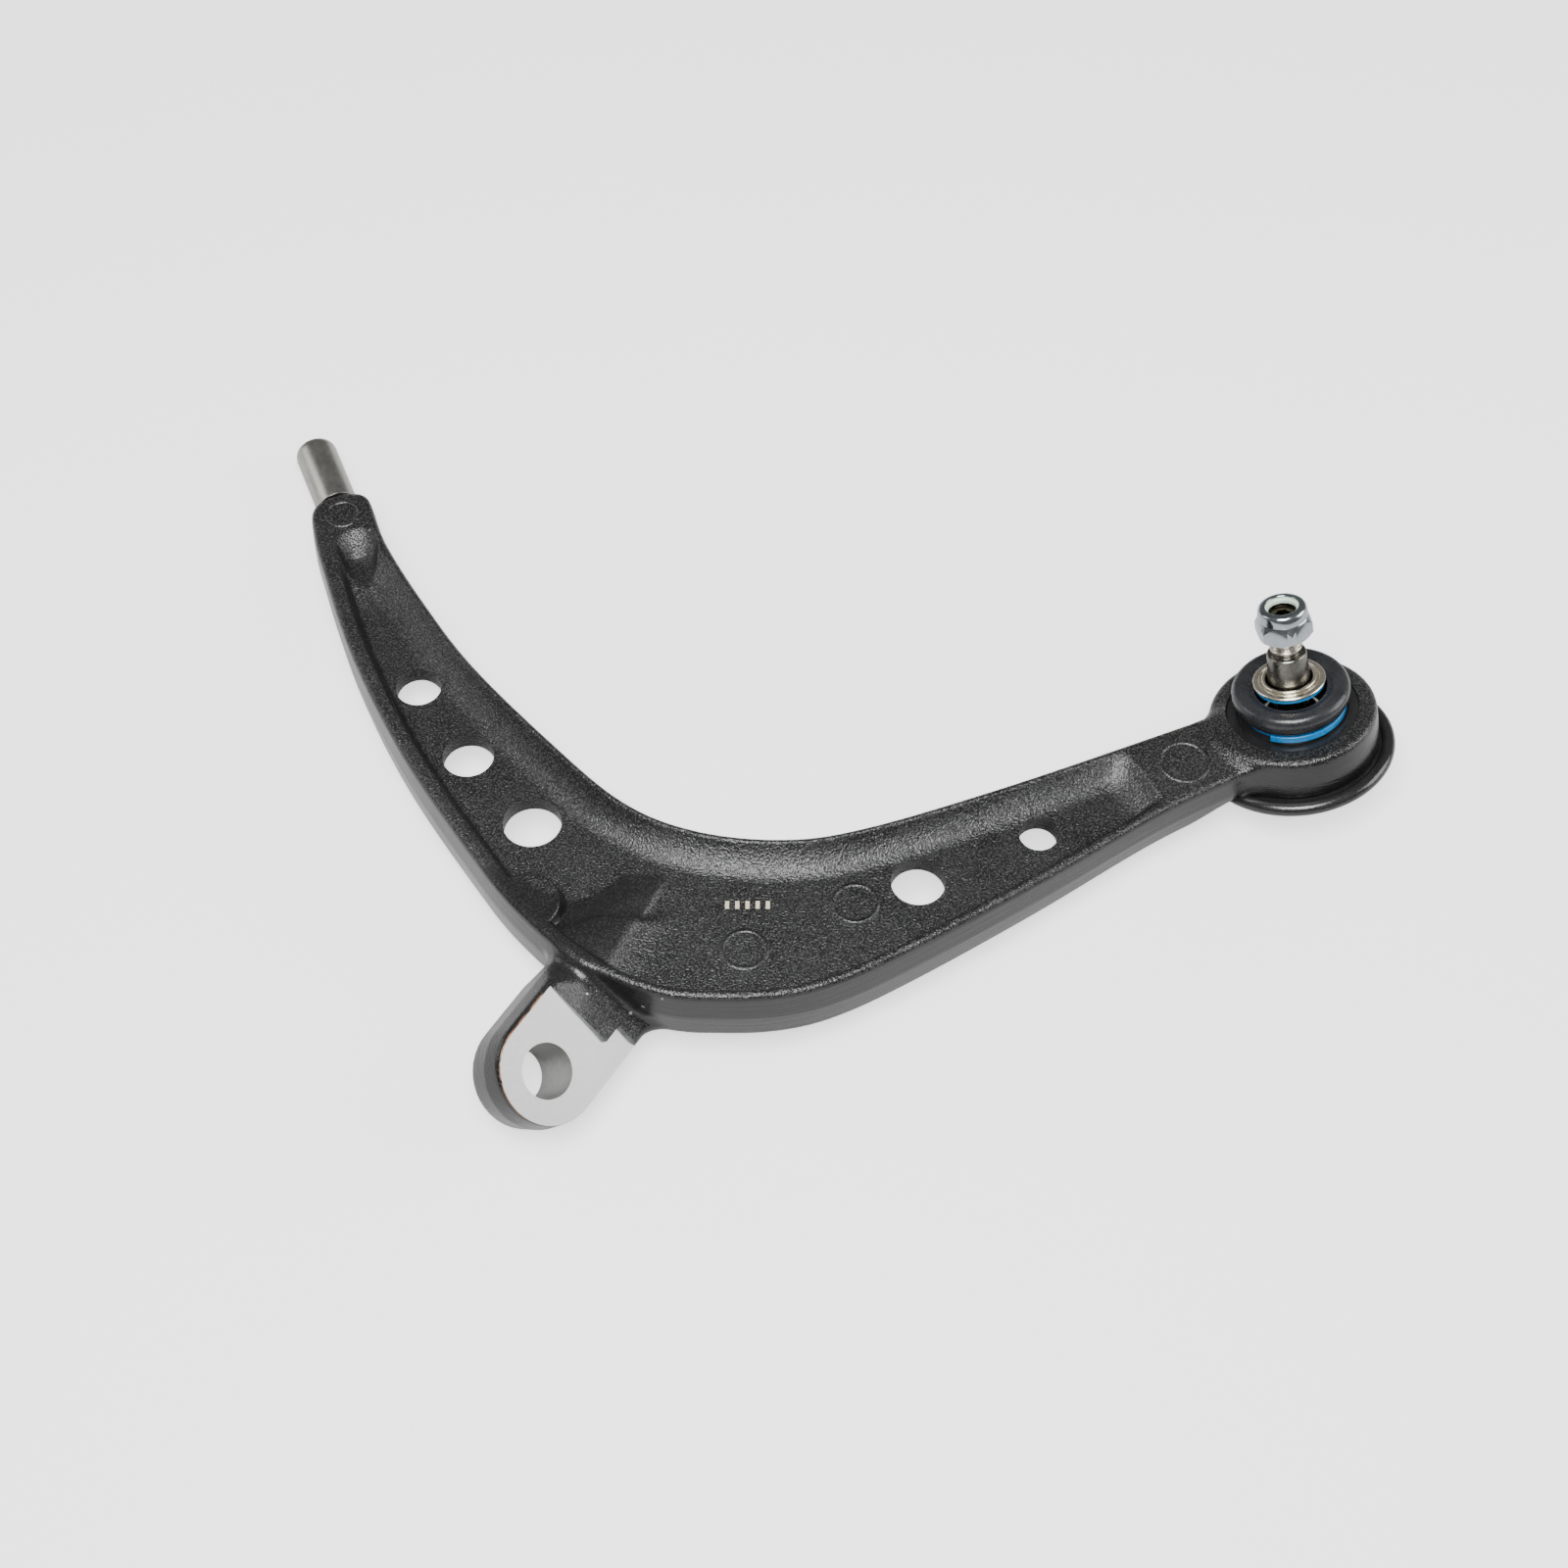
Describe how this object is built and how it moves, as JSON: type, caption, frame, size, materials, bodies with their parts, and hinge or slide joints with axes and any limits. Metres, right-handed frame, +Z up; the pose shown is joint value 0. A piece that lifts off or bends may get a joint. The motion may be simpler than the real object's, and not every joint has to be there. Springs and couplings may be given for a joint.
{
  "type": "suspension control arm",
  "caption": "L-shaped ribbed suspension arm with a ball joint and locking nut at one end, a ground bush pin at the other and a milled lug with a bore between them.",
  "frame": {"origin": "on the axis of the lug's bore, at its milled face, in the casting's mid-plane", "axes": "+X from the lug's bore towards the ball joint, the arm's longest extent; +Y towards the rear bush pin; +Z up, normal to the casting's mid-plane, the side the stud stands on"},
  "size_m": [0.4361, 0.3177, 0.089],
  "materials": {
    "black_coating": "semi-gloss black coat over a fine cast grain; the lug's face and bore are bare milled steel",
    "ground_steel": "ground around its axis, bare",
    "black_steel": "gloss black coat on pressed steel",
    "bearing_plastic": "smooth bearing plastic",
    "pad_rubber": "matte",
    "plated_steel": "zinc-plated pressed disc",
    "stud_steel": "turned steel, lightly oiled",
    "boot_rubber": "satin moulded rubber",
    "blue_plastic": "glossy blue moulding",
    "plated_washer": "pale yellowish plated pressing",
    "zinc_plate": "bright zinc plate with a faint blue cast",
    "nylon": "pale greenish nylon"
  },
  "bodies": {
    "arm": {"arm_body": "black_coating", "rear_pin": "ground_steel", "joint_housing": "black_steel", "bearing_shell": "bearing_plastic", "pressure_pad": "pad_rubber", "closing_cover": "plated_steel", "lower_boot_ring": "blue_plastic"},
    "boot": {"dust_boot": "boot_rubber"},
    "boot_cap": {"upper_boot_ring": "blue_plastic", "boot_washer": "plated_washer"},
    "stud": {"ball_stud": "stud_steel"},
    "nut_carrier": {"nylon_insert": "nylon"},
    "nut": {"lock_nut": "zinc_plate"}
  },
  "joints": [
    {"name": "stud_tilt_a", "type": "hinge", "parent": "arm", "child": "boot", "pos_m": [0.277, 0.14997, 0.00331], "axis": [-0.9793, -0.1065, -0.172], "range_deg": [-20.2, 9.8], "deforming": ["dust_boot"]},
    {"name": "stud_tilt_b", "type": "hinge", "parent": "boot", "child": "boot_cap", "pos_m": [0.277, 0.14997, 0.00331], "axis": [-0.0541, 0.9571, -0.2845], "range_deg": [-15, 15]},
    {"name": "stud_spin", "type": "hinge", "parent": "boot_cap", "child": "stud", "pos_m": [0.277, 0.14997, 0.00331], "axis": [-0.1949, 0.2693, 0.9431], "continuous": true},
    {"name": "nut_lift", "type": "slide", "parent": "stud", "child": "nut_carrier", "axis": [-0.1949, 0.2693, 0.9431], "range_m": [0, 0.0135]},
    {"name": "nut_turn", "type": "hinge", "parent": "nut_carrier", "child": "nut", "pos_m": [0.27018, 0.15939, 0.03632], "axis": [-0.1949, 0.2693, 0.9431], "range_deg": [0, 3240]}
  ],
  "couplings": [
    {"joint": "nut_lift", "follows": "nut_turn", "m_per_rad": 0.00023873}
  ]
}
